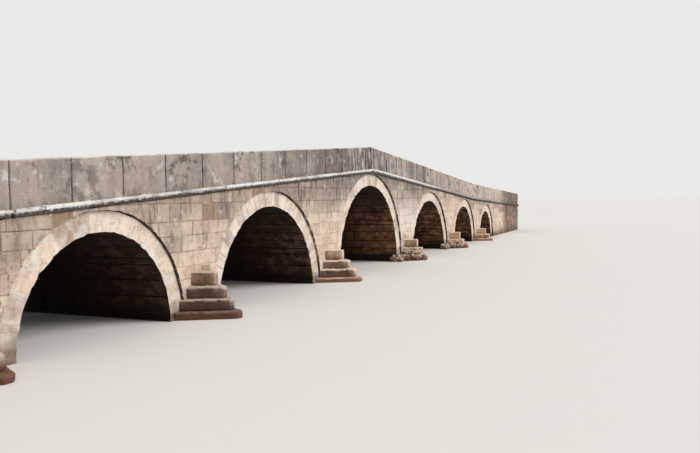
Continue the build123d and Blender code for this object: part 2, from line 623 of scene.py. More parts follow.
def limestone(name, clean, warm, warmth):
    """A finish in quarry colours: each stone between a clean and a warm tone, and mottled."""
    finish = Finish(name)
    finish.colour = finish.mix(finish.tone.rise(0.9 - warmth, 1.3 - warmth) * 0.6, clean, warm)
    finish.lay(warm, finish.noise(2.3, 5).rise(0.36, 0.66) * warmth)
    finish.lay("grey", finish.second_tone.rise(0.78, 0.92) * 0.45)
    fine = finish.noise(13, 5, shift=11, roughness=0.65)
    finish.lay("grey", fine.rise(0.5, 0.7) * 0.42)
    finish.lay("lime", (1 - fine.rise(0.3, 0.48)) * 0.4)
    grain = finish.noise(45, 3, roughness=0.7)
    finish.lay(finish.mix(grain.rise(0.3, 0.75), warm, clean), 0.5, "SOFT_LIGHT")
    return finish


def streaks(finish, width=8, shift=0, height=1.4):
    """Upright runs of growth left by water from above."""
    runs = finish.noise(1, 6, (width, width, height), shift, 0.65).rise(0.49, 0.62)
    return runs * finish.noise(5, 5, (1, 1, 0.7), shift + 3).rise(0.38, 0.58)


def specks(finish, shift=0):
    """Small dark spots of growth, gathered in patches."""
    spots = finish.noise(19, 3, shift=shift, roughness=0.7).rise(0.55, 0.66)
    return spots * finish.noise(2.7, shift=shift + 5).rise(0.42, 0.64)


def weather(finish, growth, growth_mask, crust_mask, splash=0.42, joints=0.6, stain="silt",
            crust="lime"):
    """Lay growth, pale crust, silt and dark joints over the stone colour."""
    finish.lay(growth, growth_mask)
    finish.lay(crust, crust_mask)
    waver = finish.noise(2.6, 5, shift=7) * 0.4 - 0.2
    finish.lay(stain, (1 - (finish.z + waver).rise(0, splash)) * 0.85)
    open_joint = finish.joint.rise(0.05, 0.9) * finish.noise(2.9, shift=6).rise(0.34, 0.62)
    finish.lay("mortar", open_joint * joints)


def tree_shade_and_growth_end(finish, start):
    """Painted tree shade over the end that stands under trees, laid as brown and grey growth, from
    a place along x.
    """
    far = (finish.x + finish.noise(0.9, 3, shift=23)).rise(start, start + 1.5)
    cover = finish.noise(2.3, 7, (0.6, 1, 0.8), 29, 0.68).rise(0.34, 0.66) * 0.35 + 0.58
    finish.lay(finish.mix(0.75, "grey", "silt"), far * cover)


def pitted(finish, coarse=1):
    """Height of the stone's skin: soft hollows, grain and a few deep pits."""
    hollows = finish.noise(9, 5) * 0.55
    grain = finish.noise(55, 3, roughness=0.7) * 0.22
    return hollows + grain + finish.cells(26).rise(0.05, 0.3) * 0.23 * coarse


def wall_finish():
    finish = limestone("Wall limestone", "cream", "warm", 0.42)
    left = 1 - finish.x.rise(-6, -2.5)
    right = finish.x.rise(3, 6)
    waver = finish.noise(1.1, 4, (0.6, 1, 1), 15) * 0.9 + right * 0.45 - left * 0.1
    upper = 1 - (depth_below_deck(finish) + waver).rise(0.6, 1.65)
    cloudy = finish.noise(2.1, 6, (0.6, 1, 0.7), 4).rise(0.24, 0.54)
    finish.lay("grey", (upper * (0.72 - left * 0.3) + 0.08) * cloudy)
    growth = streaks(finish) * (upper * 0.75 + 0.14) * (1 - right * 0.4) * (1 - left * 0.3)
    growth = growth | streaks(finish, 3.6, 51, 0.7) * (upper * 0.45 + 0.05)
    washed = streaks(finish, 4, 21, 0.5) * (1 - upper * 0.6) * 0.28
    bleached = 1 - abs(finish.x - 2.6).rise(0.5, 1.1)
    bleached = bleached * finish.noise(3, shift=22).rise(0.28, 0.52) * (1 - upper) * 0.5
    crust = finish.noise(7, 5, shift=9).rise(0.6, 0.72) * 0.45 | washed | bleached
    weather(finish, "soot", growth | specks(finish) * 0.6, crust, joints=upper * 0.3 + 0.36)
    rusty = (finish.second_tone > 0.975) * 0.5
    mossy = (1 - abs(finish.x - 2.45).rise(0.12, 0.4)) * (1 - finish.z.rise(0.6, 0.78))
    mossy = mossy * finish.noise(9, shift=25).rise(0.35, 0.55) * 0.7
    finish.lay("ochre", rusty | mossy)
    tree_shade_and_growth_end(finish, 16)
    # Painted shade: faces that look neither out of the front or back nor out of the ends, such as
    # the wall's edge over each ring, are laid soot-dark
    edge = (abs(finish.x) - HALF_LENGTH + 0.1).rise(0, 0.05)
    under = 1 - (abs(finish.facing("Y")) | edge).rise(0.15, 0.5)
    finish.lay("soot", under * (finish.noise(4, shift=18).rise(0.34, 0.5) * 0.7 + 0.25))
    return finish.done(pitted(finish), 0.014)


def arch_finish():
    finish = limestone("Arch limestone", "cream", "warm", 0.12)
    finish.lay("grey", finish.noise(4.1, 6, (0.6, 1, 1), 8).rise(0.46, 0.66) * 0.25)
    growth = streaks(finish, 7, 1) * 0.15 | specks(finish, 1) * 0.4
    crust = finish.noise(6, 5, shift=9).rise(0.42, 0.66) * 0.5
    weather(finish, "soot", growth, crust, joints=0.35)
    outside = abs(finish.facing("Y")).rise(0.35, 0.65)
    outside = outside * abs(finish.y).rise(RING_FACE - 0.06, RING_FACE - 0.05)
    ring = finish.colour
    colour_soffit(finish)
    finish.lay(ring, outside)
    return finish.done(pitted(finish), 0.014)


def colour_soffit(finish):
    """Stone under an arch with painted shade: black at the water, banded with the courses, darker
    deep inside, at the crown, towards the back and in the arches to the left.
    """
    # Painted shade: the soffit darkens away from the faces, towards the crown, in the arches to
    # the left and towards the back; stain, tone and the courses mottle it
    near_face = abs(finish.y).rise(0.2, 2.1)
    high = finish.z.rise(0.9, 1.8)
    far_left = 1 - finish.x.rise(-4.4, -1.2)
    front = 1 - finish.y.rise(-1.6, 0.2)
    bands = finish.noise(1, 5, (0.9, 0.9, 9), 33, 0.6).rise(0.4, 0.6)
    stain = finish.noise(2.1, 5, (1, 1, 1.6), 2).rise(0.3, 0.6)
    lit = (stain * 0.45 + finish.tone * 0.25 + bands * 0.35) * (near_face * 0.75 + 0.25)
    lit = lit * (1 - high * 0.86) * (1 - far_left * 0.92) * (front * 0.9 + 0.5)
    finish.colour = finish.mix(lit * (1 - finish.x.rise(2.5, 5) * 0.3), "damp", "lit")
    # Painted light: ochre patches near the faces and low down
    bright = finish.noise(5.2, 5, (1, 1, 1.8), 5).rise(0.46, 0.62) * near_face * (1 - high)
    finish.lay("ochre", bright * (1 - far_left * 0.8) * (front * 0.3 + 0.4))
    low = 1 - (finish.z + finish.noise(2, shift=12) * 0.3).rise(0.26, 0.46)
    finish.lay("damp", low * 0.95)
    seam = finish.joint.rise(0.05, 0.5) * finish.noise(4, 3, shift=16).rise(0.15, 0.4)
    finish.lay("damp", seam)
    arris = abs(finish.y) + finish.noise(5, shift=3) * 0.14
    finish.lay("ash", arris.rise(RING_FACE + 0.045, RING_FACE + 0.065) * 0.7)


def parapet_finish():
    finish = limestone("Parapet limestone", "ash", "grey", 0.45)
    below = depth_below_deck(finish)
    cloudy = finish.noise(2.4, 6, (0.5, 1, 0.8), 4).rise(0.3, 0.58)
    right = (finish.x + cloudy).rise(0.9, 2.4)
    left = 1 - (finish.x + cloudy).rise(-4, -2.2)
    finish.lay("grey", cloudy * (1 - right * 0.6 - left * 0.4) * 0.8)
    bands = finish.noise(1, 3, (2.2, 2.2, 0.3), 26).rise(0.35, 0.65)
    bleached = right * bands * 0.45 | finish.x.rise(4, 7.5) * (cloudy * 0.2 + 0.35)
    finish.lay("cream", bleached | left * (bands * 0.2 + 0.15))
    down = (below + 0.53).rise(-0.05, 0.6)
    at_crest = 1 - abs(finish.x - 0.3).rise(0.8, 2.4)
    mottled = finish.noise(9, 6, (0.5, 1, 0.5), 2, 0.65).rise(0.48, 0.6)
    gathered = finish.noise(1.1, 4, (1, 1, 0.4), 27).rise(0.42, 0.62)
    growth = mottled * gathered * (1 - down * 0.4) * 0.8
    growth = growth | streaks(finish, 7, 41, 1) * (at_crest + 0.1)
    growth = growth | streaks(finish, 3.2, 61, 0.5) * 0.4 | specks(finish, 2) * 0.5
    rim = 1 - (below + 0.525).rise(0.006, 0.034)
    rim = rim * finish.noise(3, shift=28).rise(0.3, 0.55) * 0.8
    washed = streaks(finish, 12, 31, 1.5) * (at_crest * 0.55 + 0.05)
    crust = finish.noise(6, 5, shift=9).rise(0.58, 0.7) * 0.4 | washed | rim
    weather(finish, "soot", growth, crust)
    tree_shade_and_growth_end(finish, 15.6)
    return finish.done(pitted(finish), 0.012)


def cornice_finish():
    finish = limestone("Cornice limestone", "lime", "grey", 0.25)
    ragged = finish.noise(22, 5, shift=17) * 0.09
    faded = (finish.x + finish.noise(1.3, 3, shift=14) * 3).rise(5, 9)
    # Painted shade: the lower part of the fascia, under the upper one, is laid grey here and
    # soot-dark with the growth, along a ragged edge
    under = (depth_below_deck(finish) + ragged).rise(0.098, 0.118)
    finish.lay("ash", faded * 0.75)
    finish.lay("grey", under * 0.9)
    growth = specks(finish, 2) * 0.8 | under * (faded * 0.2 + 0.7)
    crust = finish.noise(8, 5, shift=9).rise(0.38, 0.6) * (1 - under) * (1 - faded) * 0.8
    weather(finish, "soot", growth, crust)
    tree_shade_and_growth_end(finish, 15.6)
    return finish.done(pitted(finish), 0.012)


def cutwater_finish():
    finish = limestone("Cutwater limestone", "cream", "warm", 0.5)
    upward = finish.facing("Z")
    outward = abs(finish.facing("Y"))
    # Painted sunlight: the cutwaters to the right are laid cleaner, yellower and paler
    sunny = finish.x.rise(0.5, 6)
    # Stains and crust, and partly painted light: faces that look out along y are laid paler and
    # the flanks browner
    near_nose = (abs(finish.y) + finish.z * 0.74).rise(FACE + 0.58, FACE + 0.7) * 0.75
    pale = near_nose | outward.rise(0.7, 0.9)
    sides = (1 - upward.rise(0.1, 0.6)) * (1 - pale * 0.8)
    stain = finish.noise(4.4, 6, (1, 1, 0.8), 2).rise(0.26, 0.54)
    clean = sunny * finish.z.rise(0.28, 0.36) * 0.75
    finish.lay("ochre", stain * (sides * 0.88 + 0.06) * (1 - clean))
    lower = (1 - (finish.z + stain * 0.05).rise(0.44, 0.5)) * (1 - sunny * 0.5 - clean * 0.7)
    brown = finish.mix(finish.z.rise(0.22, 0.36) * 0.16 + 0.12, "silt", "warm")
    finish.lay(brown, lower * sides * (stain * 0.2 + 0.78))
    finish.lay("honey", sunny * (stain * 0.25 + 0.35))
    growth = finish.noise(6.2, 6, (1, 1, 0.6), 6).rise(0.4, 0.62) * (sides * 0.45 + 0.08)
    # Pale crust on the tops and noses, partly painted light from above and from the front
    rims = (upward + outward * 0.5).rise(0.3, 0.8)
    crust = rims * finish.noise(4, shift=9).rise(0.18, 0.44) * 0.95
    crust = crust | finish.noise(6, 5, shift=24).rise(0.5, 0.64) * sunny * 0.5
    # Painted tree shade: the cutwaters to the left are laid dark brown and grey, darkest at the
    # foot
    shaded = 1 - finish.x.rise(-7, -3.5)
    dim = shaded * (1 - finish.z.rise(0.44, 0.5) * 0.7) * (stain * 0.25 + 0.65)
    finish.lay(finish.mix(0.3, "silt", "grey"), dim)
    weather(finish, "silt", growth * (1 - clean), crust * (1 - shaded * 0.45), splash=0.2,
            stain="russet", crust="cream")
    finish.lay("silt", shaded * (1 - finish.z.rise(0.1, 0.24)) * 0.7)
    finish.lay("russet", sunny * near_nose * (1 - finish.z.rise(0.28, 0.36)) * 0.5)
    finish.lay("soot", specks(finish, 4) * 0.6)
    return finish.done(pitted(finish, 1.6), 0.022)


def fallen_finish():
    finish = limestone("Fallen limestone", "cream", "warm", 0.6)
    finish.lay("ochre", finish.noise(7, 5, shift=2).rise(0.4, 0.6) * 0.6)
    growth = finish.noise(9, 5, shift=6).rise(0.45, 0.62) | finish.tone.rise(0.75, 0.8)
    weather(finish, "silt", growth * 0.45, finish.facing("Z").rise(0, 0.9) * 0.6, splash=0.12,
            crust="cream")
    return finish.done(pitted(finish, 1.6), 0.022)


def paving_finish():
    finish = limestone("Paving limestone", "ash", "grey", 0.55)
    growth = finish.noise(2.6, 5, shift=2).rise(0.45, 0.75) * 0.4
    weather(finish, "silt", growth, finish.noise(3, 5, shift=9).rise(0.5, 0.7) * 0.3)
    return finish.done(pitted(finish), 0.01, finish.noise(8).rise(-0.6, 1.2) * 0.35 + 0.45)


def rubble_finish():
    finish = Finish("Rubble and mortar")
    lumps = finish.cells(7)
    finish.colour = finish.mix(lumps.rise(0.1, 0.6), "warm", "grey")
    return finish.done(lumps, 0.03, lumps.rise(-1, 1.5) * 0.3 + 0.6)


# Layout of the stones

def sizes():
    return bpy.context.scene.bridge_sizes


class Coursing:
    """Level courses of the walls and piers, with their joints off those of the course below."""

    def __init__(self):
        size = sizes()
        even = uneven_lines(0, 1, size.wall_course / CREST, 0.14, 11)
        self.beds = [CREST * share ** size.course_growth for share in even]
        middles = [(low + high) / 2 for low, high in zip(self.beds, self.beds[1:])]
        self.z_lines = sorted([*self.beds, *middles])[1:]
        self.x_lines = uneven_lines(-HALF_LENGTH, HALF_LENGTH, size.grain, 0.16, 12)
        self.y_lines = uneven_lines(-FACE, FACE, size.grain, 0.16, 13)
        courses = len(self.beds)
        self.x_joints = joints_beside(self.x_lines, courses, size.wall_stone, 0.38, 100)
        self.y_joints = [stones_in(self.y_lines, size.wall_stone, 0.38, 200 + course)
                         for course in range(courses)]
        self.numbers = {None: 0}

    def planes(self, low, high):
        """Planes of the stone grid that pass through a box."""
        grid = zip("XYZ", (self.x_lines, self.y_lines, self.z_lines), low, high)
        return [lines_across(axis, [line for line in lines if start + TOUCH < line < end - TOUCH])
                for axis, lines, start, end in grid]

    def stone_at(self, place, normal):
        """The stone that an outside face of the bridge belongs to."""
        if not outside_wall(place, normal):
            return None
        course = bisect_right(self.beds, place.z)
        at_end = abs(normal.x) > SQUARE
        along = place.y if at_end else place.x
        joints = (self.y_joints if at_end else self.x_joints)[course - 1]
        return course, at_end, bisect_right(joints, along)


def outside_wall(place, normal):
    """True on the front, back and end faces of the walls."""
    on_face = abs(normal.y) > SQUARE and abs(place.y) > FACE - TOUCH
    on_end = abs(normal.x) > SQUARE and abs(place.x) > HALF_LENGTH - TOUCH
    return on_face or on_end


def wall_side(place):
    """The way out of the wall at a place on its skin, or None further in."""
    if abs(place.y) > FACE - SKIN:
        return Vector((0, math.copysign(1, place.y), 0))
    if abs(place.x) > HALF_LENGTH - SKIN:
        return Vector((math.copysign(1, place.x), 0, 0))
    return None


def close_folds(piece):
    """Close each face of the skin that a joint has folded over, at its shortest edge."""
    for _ in range(FOLD_ROUNDS):
        with editing(piece, "EDGE"):
            with mesh_of(piece) as mesh:
                mesh.normal_update()
                for triangle in mesh.calc_loop_triangles():
                    first, second, third = (loop.vert.co for loop in triangle)
                    way = (second - first).cross(third - first).normalized()
                    out = wall_side((first + second + third) / 3)
                    if out and way.dot(out) < FOLDED:
                        edges = triangle[0].face.edges
                        min(edges, key=lambda edge: edge.calc_length()).select_set(True)
            bpy.ops.mesh.edge_collapse()


def lap_seams(piece, lap):
    """Run the level and upright hidden sides of a piece a little into its neighbours."""
    with editing(piece):
        for way in (Vector(axis) * sign for axis in AXES for sign in (1, -1)):
            select_faces(piece, lambda place, normal: normal.dot(way) > 0.99
                         and place.z > TOUCH and not outside_wall(place, normal))
            bpy.ops.transform.translate(value=way * lap)


def build_wall(node, coursing, arches, material, seed):
    size = sizes()
    piece = solid_of(node, f"{node}_stones")
    lap_seams(piece, size.lap)
    across_x, across_y, across_z = coursing.planes(*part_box(node))
    cut_faces(piece, outside_wall, across_z + across_x + across_y, merge=WALL_MERGE)
    with editing(piece, "VERT"):
        if select_corners(piece, lambda corner: any(arch.at_back(corner) for arch in arches)):
            bpy.ops.transform.vertex_random(offset=size.ragged, seed=seed)
    carve_joints(piece, coursing.stone_at, size.joint_width, size.joint_depth, seed,
                 numbers=coursing.numbers)
    close_folds(piece)
    tone_stones(piece, 10, -size.wear)
    roughen(piece, 0.35, size.relief)
    settle(piece)
    finished(piece, material, "wall_stone", node)


class BRIDGE_OT_walls(bpy.types.Operator):
    """Build the coursed stones of the walls, piers and ends"""
    bl_idname = "bridge.walls"
    bl_label = "Walls and piers"

    def execute(self, context):
        coursing = Coursing()
        arches = [Arch(index) for index in range(1, ARCHES + 1)]
        material = wall_finish()
        nodes = [f"{side}_wall_{bay}" for side in SIDES for bay in range(1, BAYS + 1)]
        nodes += [f"pier_{pier}" for pier in range(1, PIERS + 1)]
        nodes += ["left_abutment", "right_abutment"]
        for seed, node in enumerate(nodes, start=300):
            build_wall(node, coursing, arches, material, seed)
        put_on(rubble_finish(), frame["nodes"]["rubble_core"].data)
        return {"FINISHED"}


class Arch:
    """One arch: its centre, radii, and the division of its vault into stones."""

    def __init__(self, index):
        size = sizes()
        self.node = f"vault_{index}"
        low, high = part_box(self.node)
        half_width = (high.x - low.x) / 2
        rise = high.z
        full_round = rise >= half_width
        self.outer = half_width if full_round else (half_width**2 + rise**2) / (2 * rise)
        self.radius = self.outer - size.ring_depth
        self.x = middle_of(self.node)
        self.z = high.z - self.outer
        around = math.pi * self.radius / size.voussoir
        self.steps = 3 * (2 * round((around - 1) / 2) + 1)
        self.turns = stones_in(range(self.steps + 1), 3, 0.4, 20 + index)
        self.y_lines = uneven_lines(-RING_FACE, RING_FACE, 0.1, 0.12, 30 + index)
        self.y_joints = joints_beside(
            self.y_lines, len(self.turns) + 1, size.vault_stone, 0.34, 400 * index)
        self.numbers = {None: 0}
        for voussoir, beside in enumerate(self.y_joints):
            for stone in range(len(beside)):
                self.numbers[voussoir, stone] = len(self.numbers)

    def voussoir_at(self, place):
        """Number of the voussoir round a place, from the left springing over to the right."""
        turn = math.atan2(place.z - self.z, self.x - place.x)
        share = min(max(turn / math.pi, 0), 1 - 1e-6)
        return bisect_right(self.turns, share * self.steps)

    def on_curve(self, place, radius, face):
        """True where a curve round the arch meets a front or back face, off the water."""
        reach = math.hypot(place.x - self.x, max(place.z - self.z, 0))
        return abs(reach - radius) < TOUCH and abs(place.y) > face - TOUCH and place.z > TOUCH

    def at_arris(self, corner):
        """True on the edge between the ring's face and the soffit."""
        return self.on_curve(corner.co, self.radius, RING_FACE)

    def at_back(self, corner):
        """True on the edge of a wall that stands over the ring."""
        return self.on_curve(corner.co, self.outer, FACE)

    def stone_at(self, place, normal):
        """The stone of a ring face or of the soffit; the back of the vault has none."""
        outward = Vector((place.x - self.x, 0, place.z - self.z)).normalized()
        if normal.dot(outward) > 0.5 or normal.z < -SQUARE and place.z < TOUCH:
            return None
        voussoir = self.voussoir_at(place)
        return voussoir, bisect_right(self.y_joints[voussoir][1:-1], place.y)


def build_arch(index, material):
    size = sizes()
    arch = Arch(index)
    bpy.ops.object.select_all(action="DESELECT")
    bpy.ops.mesh.primitive_grid_add(
        x_subdivisions=3, y_subdivisions=len(arch.y_lines) - 1, size=1,
        location=(arch.x - (arch.radius + arch.outer) / 2, 0, arch.z))
    piece = bpy.context.object
    piece.name = piece.data.name = f"{arch.node}_stones"
    piece.scale = (size.ring_depth, 2 * RING_FACE, 1)
    bpy.ops.object.transform_apply()
    with editing(piece):
        select_whole()
        bpy.ops.mesh.spin(
            steps=arch.steps, angle=math.pi, center=(arch.x, 0, arch.z), axis=(0, -1, 0))
        select_whole()
        bpy.ops.mesh.remove_doubles(threshold=1e-4)
        bpy.ops.mesh.normals_make_consistent(inside=False)
        if arch.z > 0:
            select_faces(piece, lambda place, normal: abs(place.z - arch.z) < TOUCH)
            bpy.ops.mesh.extrude_region_move(TRANSFORM_OT_translate={"value": (0, 0, -arch.z)})
        else:
            cut_at_water()
        select_whole()
        bpy.ops.mesh.normals_make_consistent(inside=False)
    put_in_order(piece)
    with editing(piece, "VERT"):
        select_corners(piece, arch.at_arris)
        bpy.ops.transform.vertex_random(offset=size.ragged, seed=index)
    carve_joints(piece, arch.stone_at, size.vault_joint, size.vault_joint_depth, index,
                 deeper=lambda corner: abs(corner.co.y) < RING_FACE - 0.05,
                 wander=0.008, numbers=arch.numbers)
    tone_stones(piece, 40 + index, -size.wear)
    roughen(piece, 0.3, size.relief)
    settle(piece)
    finished(piece, material, "vault_stone", arch.node)


class BRIDGE_OT_arches(bpy.types.Operator):
    """Build the arch rings and the stones of the vaults behind them"""
    bl_idname = "bridge.arches"
    bl_label = "Arches"

    def execute(self, context):
        material = arch_finish()
        for index in range(1, ARCHES + 1):
            build_arch(index, material)
        return {"FINISHED"}


def cutwater_tiers(pier):
    """The tiers of one cutwater, from the top down: their top, bottom, half width and reach."""
    size = sizes()
    tiers = []
    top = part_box(f"pier_{pier}")[1].z
    bottom = top - size.top_tier
    top += size.top_block
    half_width, reach = size.tier_half_width, size.tier_length
    while top > 0:
        bottom = bottom if bottom > 2 * FOOT else 0
        tiers.append((top, bottom, half_width, reach))
        top = bottom
        bottom = top - size.lower_tier
        half_width += size.tier_side_step
        reach += size.tier_nose_step
    return tiers


def build_tier(centre, side, tier, stone, swell, seed):
    """One tier: a block narrowed to a blunt nose, cut into stones that are to swell."""
    size = sizes()
    top, bottom, half_width, reach = tier
    top, half_width, reach = top - swell, half_width - swell, reach - swell
    foot = bottom - (size.sunk if bottom < TOUCH else size.lap)
    inner = RING_FACE - 0.02
    length = FACE + reach - inner
    nose = side * (FACE + reach)
    piece = block((centre, side * (inner + length / 2), (top + foot) / 2),
                  (2 * half_width, length, top - foot))
    with editing(piece):
        select_faces(piece, lambda place, normal: normal.y * side > SQUARE)
        blunt = (size.nose_half_width - swell / 2) / half_width
        bpy.ops.transform.resize(value=(blunt, 1, 1), center_override=(centre, nose, top))
    wear_round(piece, size.tier_round, 3)
    if foot < 0:
        with editing(piece):
            cut_at_water()
    x_lines = uneven_lines(centre - half_width, centre + half_width, TIER_GRID, TIER_SPREAD, seed)
    y_lines = uneven_lines(inner, FACE + reach, TIER_GRID, TIER_SPREAD, seed + 1)
    planes = lines_across("X", x_lines[1:-1])
    planes += lines_across("Y", [side * line for line in y_lines[1:-1]])
    layers = round((top - bottom) / TIER_LAYER)
    planes += lines_across("Z", [bottom + (top - bottom) * n / layers for n in range(1, layers)])
    cut_faces(piece, lambda place, normal: abs(place.y) > RING_FACE, planes, merge=0.005)
    x_joints = stones_in(x_lines, stone, 0.3, seed + 2)[1:-1]
    y_joints = stones_in(y_lines, stone, 0.3, seed + 3)[1:-1]

    def stone_at(place, normal):
        if abs(place.y) < RING_FACE or place.z < TOUCH:
            return None
        return bisect_right(y_joints, abs(place.y)), bisect_right(x_joints, place.x)

    carve_joints(piece, stone_at, size.tier_joint, size.tier_joint_depth, seed, wander=0.007)
    tone_stones(piece, seed, swell * 0.3)
    return piece


def build_cutwater(pier, material):
    size = sizes()
    centre = middle_of(f"cutwater_{pier}")
    tiers = []
    for side in SIDES.values():
        for number, tier in enumerate(cutwater_tiers(pier)):
            seed = 1000 + 40 * pier + 10 * (side > 0) + number
            broken = number > 0 and pier in size.worn_piers
            stone = size.tier_stone * (0.45 if broken else 1)
            swell = size.tier_swell * (1.5 if broken else 1)
            tiers.append(build_tier(centre, side, tier, stone, swell, seed))
    piece = joined(tiers, f"cutwater_{pier}_stones")
    roughen(piece, 0.17, size.tier_swell, level=0)
    roughen(piece, 0.055, size.tier_swell * 0.55, level=0)
    settle(piece)
    finished(piece, material, "cutwater_stone", f"cutwater_{pier}")


def joined(parts, name):
    """Join parts into one piece."""
    select_only(*parts)
    bpy.ops.object.join()
    piece = bpy.context.object
    piece.name = piece.data.name = name
    return piece


def rough_stone(seed):
    """A fallen stone with a flat foot, worn round and knocked out of shape."""
    length = sizes().rubble_stone
    stone = block((0, 0, length * 0.3), length * Vector((1, 0.75, 0.6)))
    with editing(stone):
        select_faces(stone, lambda place, normal: normal.z > SQUARE)
        bpy.ops.transform.resize(value=(0.75, 0.75, 1))
        select_whole()
        bpy.ops.transform.vertex_random(offset=length * 0.1, seed=seed)
        bpy.ops.mesh.subdivide(number_cuts=2, smoothness=0.45)
        bpy.ops.transform.vertex_random(offset=length * 0.03, seed=seed + 1)
    settle(stone)
    return stone


def fallen_routes(pier, side):
    """Where the stones lie: along a ledge, and from under the arch round to the nose."""
    size = sizes()
    centre = middle_of(f"cutwater_{pier}")
    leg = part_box(f"pier_{pier}")[0].x - size.ring_depth + 0.02
    under = [Vector((leg, side * (RING_FACE - 0.12), 0)), Vector((leg, side * (FACE + 0.04), 0))]
    routes = []
    for top, bottom, half_width, reach in cutwater_tiers(pier)[1:]:
        flank = [Vector((centre - half_width, side * (FACE + 0.04), bottom)),
                 Vector((centre - size.nose_half_width, side * (FACE + reach - 0.06), bottom))]
        routes.append(flank if bottom else under + flank)
    return routes


def lay_stone(model, place, scale, chance):
    """A copy of a stone, set down at a place with a turn, a scale and a tone of its own."""
    stone = model.copy()
    stone.data = model.data.copy()
    bpy.context.scene.collection.objects.link(stone)
    tone = stone.data.attributes.new("tone", "FLOAT", "FACE")
    tone.data.foreach_set("value", [chance.random()] * len(tone.data))
    scatter = Vector((chance.uniform(-0.06, 0.04), chance.uniform(-0.04, 0.04), 0))
    stone.location = place + scatter
    stone.rotation_euler = (0, 0, chance.uniform(0, math.tau))
    stone.scale = [scale * chance.uniform(0.6, 1) for _ in range(3)]
    return stone


def build_rubble(pier, material):
    """Stones of a broken foot, heaped on its ledge and along the water."""
    size = sizes()
    chance = random.Random(90 + pier)
    models = [rough_stone(seed) for seed in (5, 8, 11)]
    stones = []
    for side in SIDES.values():
        for route in fallen_routes(pier, side):
            on_ledge = route[0].z > 0
            for start, end in zip(route, route[1:]):
                count = round((end - start).length / size.rubble_step)
                for number in range(count):
                    layer = number % (2 if on_ledge else 4)
                    place = start.lerp(end, number / count) + TOP * 0.04 * layer
                    scale = chance.uniform(0.35, 0.75 if on_ledge or layer else 1.1)
                    stones.append(lay_stone(chance.choice(models), place, scale, chance))
    for model in models:
        bpy.data.objects.remove(model)
    select_only(*stones)
    bpy.ops.object.transform_apply()
    piece = joined(stones, f"fallen_stones_{pier}")
    finished(piece, material, "cutwater_stone")


class BRIDGE_OT_cutwaters(bpy.types.Operator):
    """Build the stepped cutwaters before and behind the piers"""
    bl_idname = "bridge.cutwaters"
    bl_label = "Cutwaters"

    def execute(self, context):
        material = cutwater_finish()
        for pier in range(1, PIERS + 1):
            build_cutwater(pier, material)
        material = fallen_finish()
        for pier in sizes().worn_piers:
            build_rubble(pier, material)
        return {"FINISHED"}


class Run:
    """A straight stretch of the deck, between two changes of its slope."""

    def __init__(self, start, end):
        low, high = (top_of("front_cornice", x) for x in (start + TOUCH, end - TOUCH))
        self.start = start
        self.end = end
        self.foot = Vector((start, 0, low))
        self.upward = Vector((low - high, 0, end - start)).normalized()

    def over(self, *heights):
        """Planes that follow the slope, at heights over the cornice top."""
        return [(self.foot + TOP * height, self.upward) for height in heights]

    def crossings(self, x_lines, margin):
        """Upright planes across this stretch, off its ends by a margin."""
        low, high = self.start + margin, self.end - margin
        return lines_across("X", [x for x in x_lines if low < x < high])

    def holds(self, place):
        return self.start < place.x < self.end


def deck_runs():
    ease = sizes().ease_distance
    changes = [-HALF_LENGTH, -ease, 0, ease, HALF_LENGTH]
    return [Run(start, end) for start, end in zip(changes, changes[1:])]


def deck_lines(low, high, seed):
    """Grid lines of the deck's pieces."""
    return uneven_lines(low, high, 0.1, 0.2, seed)


def stone_ends(length):
    """Ends of equal stones, about a length long, along every straight run of the deck."""
    ends = []
    for run in deck_runs():
        count = max(1, round((run.end - run.start) / length))
        ends += [run.start + (run.end - run.start) * n / count for n in range(count)]
    return [*ends, HALF_LENGTH]


def build_parapet(side, material):
    size = sizes()
    node = f"{side}_parapet"
    piece = solid_of(node, f"{node}_slabs")
    with editing(piece):
        select_faces(piece, lambda place, normal: normal.z < -SQUARE)
        bpy.ops.transform.translate(value=(0, 0, -size.sunk))
    wear_round(piece, size.slab_round, 2)
    low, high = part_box(node)
    across_y = lines_across("Y", [(low.y + high.y) / 2])
    x_lines = deck_lines(-HALF_LENGTH, HALF_LENGTH, 50)
    for run in deck_runs():
        planes = run.over(*size.slab_lines) + across_y + run.crossings(x_lines, 0)
        cut_faces(piece, lambda place, normal: run.holds(place), planes, merge=0.003)
    ends = stone_ends(size.parapet_slab)
    carve_joints(piece, lambda place, normal: bisect_right(ends, place.x),
                 size.joint_width, size.joint_depth, 51)
    tone_stones(piece, 52 + SIDES[side], -size.wear * 0.6)
    roughen(piece, 0.25, size.relief)
    finished(piece, material, "parapet_stone", node)


class BRIDGE_OT_parapets(bpy.types.Operator):
    """Build the upright slabs of the parapets"""
    bl_idname = "bridge.parapets"
    bl_label = "Parapets"

    def execute(self, context):
        material = parapet_finish()
        for side in SIDES:
            build_parapet(side, material)
        return {"FINISHED"}


def build_cornice(side, material):
    size = sizes()
    node = f"{side}_cornice"
    piece = solid_of(node, f"{node}_stones")
    wear_round(piece, size.cornice_round, 2)
    x_lines = deck_lines(-HALF_LENGTH, HALF_LENGTH, 60)
    middle = SIDES[side] * (FACE + 0.02)
    for run in deck_runs():
        planes = run.crossings(x_lines, SLOPE_MARGIN) + lines_across("Y", [middle])
        cut_faces(piece, lambda place, normal: run.holds(place), planes, merge=0.004)
    ends = stones_in(x_lines, size.cornice_stone, 0.2, 61)

    def stone_at(place, normal):
        inner = abs(place.y) < FACE - 0.1
        return None if inner else bisect_right(ends, place.x)

    carve_joints(piece, stone_at, size.joint_width, size.joint_depth, 62)
    tone_stones(piece, 63 + SIDES[side], -size.wear * 0.7)
    roughen(piece, 0.09, 0.022)
    finished(piece, material, "cornice_stone", node)


class BRIDGE_OT_cornices(bpy.types.Operator):
    """Build the projecting stones under the parapets"""
    bl_idname = "bridge.cornices"
    bl_label = "Cornices"

    def execute(self, context):
        material = cornice_finish()
        for side in SIDES:
            build_cornice(side, material)
        return {"FINISHED"}


